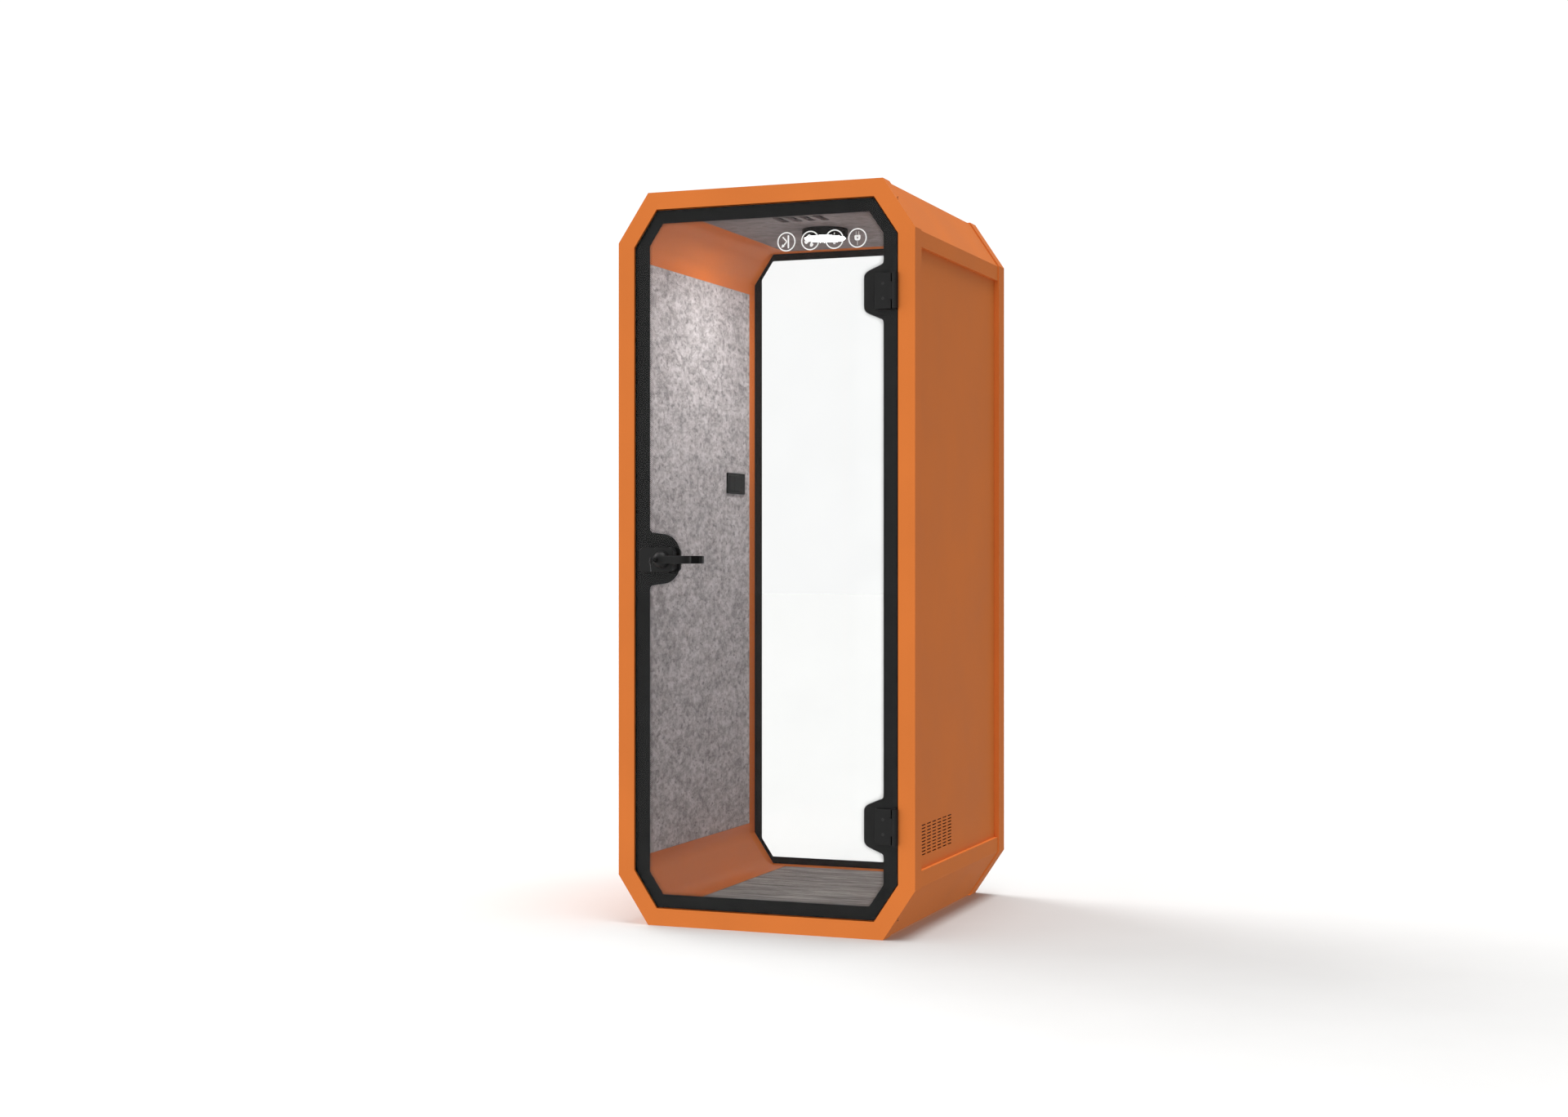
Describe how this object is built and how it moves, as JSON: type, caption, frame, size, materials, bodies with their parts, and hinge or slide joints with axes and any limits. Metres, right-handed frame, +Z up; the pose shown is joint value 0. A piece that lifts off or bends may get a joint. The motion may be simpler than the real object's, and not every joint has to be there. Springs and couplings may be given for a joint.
{
  "type": "telephone booth",
  "caption": "One-person office telephone booth: octagonal framed steel body, felt-lined cabin, hinged glass door with lever lock, fixed rear window.",
  "frame": {"origin": "on the floor, in the middle of the footprint from the tip of the door key to the rear face, midway across the width", "axes": "+Z up, +Y from the door towards the rear window, +X to the right of a person facing the door"},
  "size_m": [0.98, 1.1252, 2.3],
  "materials": {
    "powder_orange": "satin powder coat, orange",
    "liner_orange": "satin powder coat on the cabin's corner liners, orange",
    "galvanised_steel": "plain galvanised sheet",
    "insulation_board": "dark pressed fibre insulation board",
    "plywood": "sealed plywood deck",
    "wall_felt": "mottled grey pressed polyester felt",
    "ceiling_felt": "darker mottled grey pressed felt",
    "carpet": "low-pile grey carpet with fine stripes across the booth",
    "clear_glass": "clear toughened glass",
    "black_print": "fired black enamel print on the glass",
    "black_rubber": "matt black rubber",
    "black_metal": "satin black powder coat",
    "black_screw": "blackened steel",
    "black_plastic": "matt black moulded plastic",
    "lamp_opal": "opal diffuser",
    "circuit_board": "white circuit board",
    "bright_steel": "brushed steel",
    "dark_steel": "darkened steel"
  },
  "bodies": {
    "booth": {"front_frame": "powder_orange", "rear_frame": "powder_orange", "upper_left_corner_shell": "powder_orange", "upper_right_corner_shell": "powder_orange", "lower_left_corner_shell": "powder_orange", "lower_right_corner_shell": "powder_orange", "roof_panel": "powder_orange", "base_pan": "galvanised_steel", "left_side_panel": "powder_orange", "right_side_panel": "powder_orange", "left_wall_core": "insulation_board", "right_wall_core": "insulation_board", "roof_core": "insulation_board", "floor_deck": "plywood", "left_felt_panel": "wall_felt", "right_felt_panel": "wall_felt", "ceiling_felt_panel": "ceiling_felt", "carpet": "carpet", "upper_left_liner": "liner_orange", "upper_right_liner": "liner_orange", "lower_left_liner": "liner_orange", "lower_right_liner": "liner_orange", "rear_glass": "clear_glass", "rear_glass_print": "black_print", "rear_glass_gasket": "black_rubber", "door_seal": "black_rubber", "hinge_frame_leaves": "black_metal", "hinge_frame_screws": "black_screw", "hinge_pins": "black_metal", "magnetic_keeper": "galvanised_steel", "lamp_housing": "black_plastic", "lamp_diffuser": "lamp_opal", "lamp_led_board": "circuit_board", "fan_plenum": "black_plastic", "fan_frame": "black_plastic", "wall_plate": "black_plastic", "wall_back_box": "galvanised_steel", "switch_carrier": "black_plastic", "power_outlet": "black_plastic", "power_inlet": "black_plastic"},
    "door": {"door_glass": "clear_glass", "door_glass_print": "black_print", "hinge_door_leaves": "black_metal", "hinge_clamp_plates": "black_metal", "hinge_gaskets": "black_rubber", "hinge_clamp_screws": "black_screw", "lock_outer_case": "black_metal", "lock_inner_case": "black_metal", "lock_case_screws": "black_screw"},
    "lever": {"outer_lever": "black_metal", "inner_lever": "black_metal", "lever_spindle": "bright_steel"},
    "latch": {"latch_bolt": "bright_steel"},
    "key": {"key_plug": "dark_steel", "door_key": "dark_steel"},
    "hanging_key": {"key_ring": "bright_steel", "spare_key": "dark_steel"},
    "fan": {"fan_rotor": "black_plastic"},
    "light_switch": {"light_switch_rocker": "black_plastic"},
    "fan_switch": {"fan_switch_rocker": "black_plastic"}
  },
  "joints": [
    {"name": "door_hinge", "type": "hinge", "parent": "booth", "child": "door", "pos_m": [0.429, -0.4544, 0.3425], "axis": [0, 0, 1], "range_deg": [0, 120]},
    {"name": "lever_turn", "type": "hinge", "parent": "door", "child": "lever", "pos_m": [-0.3295, -0.4774, 1.1475], "axis": [0, 1, 0], "range_deg": [0, 45], "stiffness_Nm_per_rad": 1, "springref_deg": -40.11},
    {"name": "latch_slide", "type": "slide", "parent": "door", "child": "latch", "axis": [1, 0, 0], "range_m": [0, 0.0125]},
    {"name": "key_turn", "type": "hinge", "parent": "lever", "child": "key", "pos_m": [-0.3295, -0.5454, 1.1475], "axis": [0, 1, 0], "range_deg": [0, 90]},
    {"name": "hanging_key_swing", "type": "hinge", "parent": "key", "child": "hanging_key", "pos_m": [-0.3295, -0.5561, 1.1464], "axis": [1, 0, 0], "range_deg": [-30, 30]},
    {"name": "fan_spin", "type": "hinge", "parent": "booth", "child": "fan", "pos_m": [0.024, -0.1804, 2.26], "axis": [0, 0, 1], "continuous": true},
    {"name": "light_switch_tilt", "type": "hinge", "parent": "booth", "child": "light_switch", "pos_m": [-0.4245, 0.3158, 1.413], "axis": [0, 1, 0], "range_deg": [-3.5, 3.5]},
    {"name": "fan_switch_tilt", "type": "hinge", "parent": "booth", "child": "fan_switch", "pos_m": [-0.4245, 0.3606, 1.413], "axis": [0, 1, 0], "range_deg": [-3.5, 3.5]}
  ],
  "couplings": [
    {"joint": "latch_slide", "follows": "lever_turn", "m_per_rad": 0.015279}
  ]
}
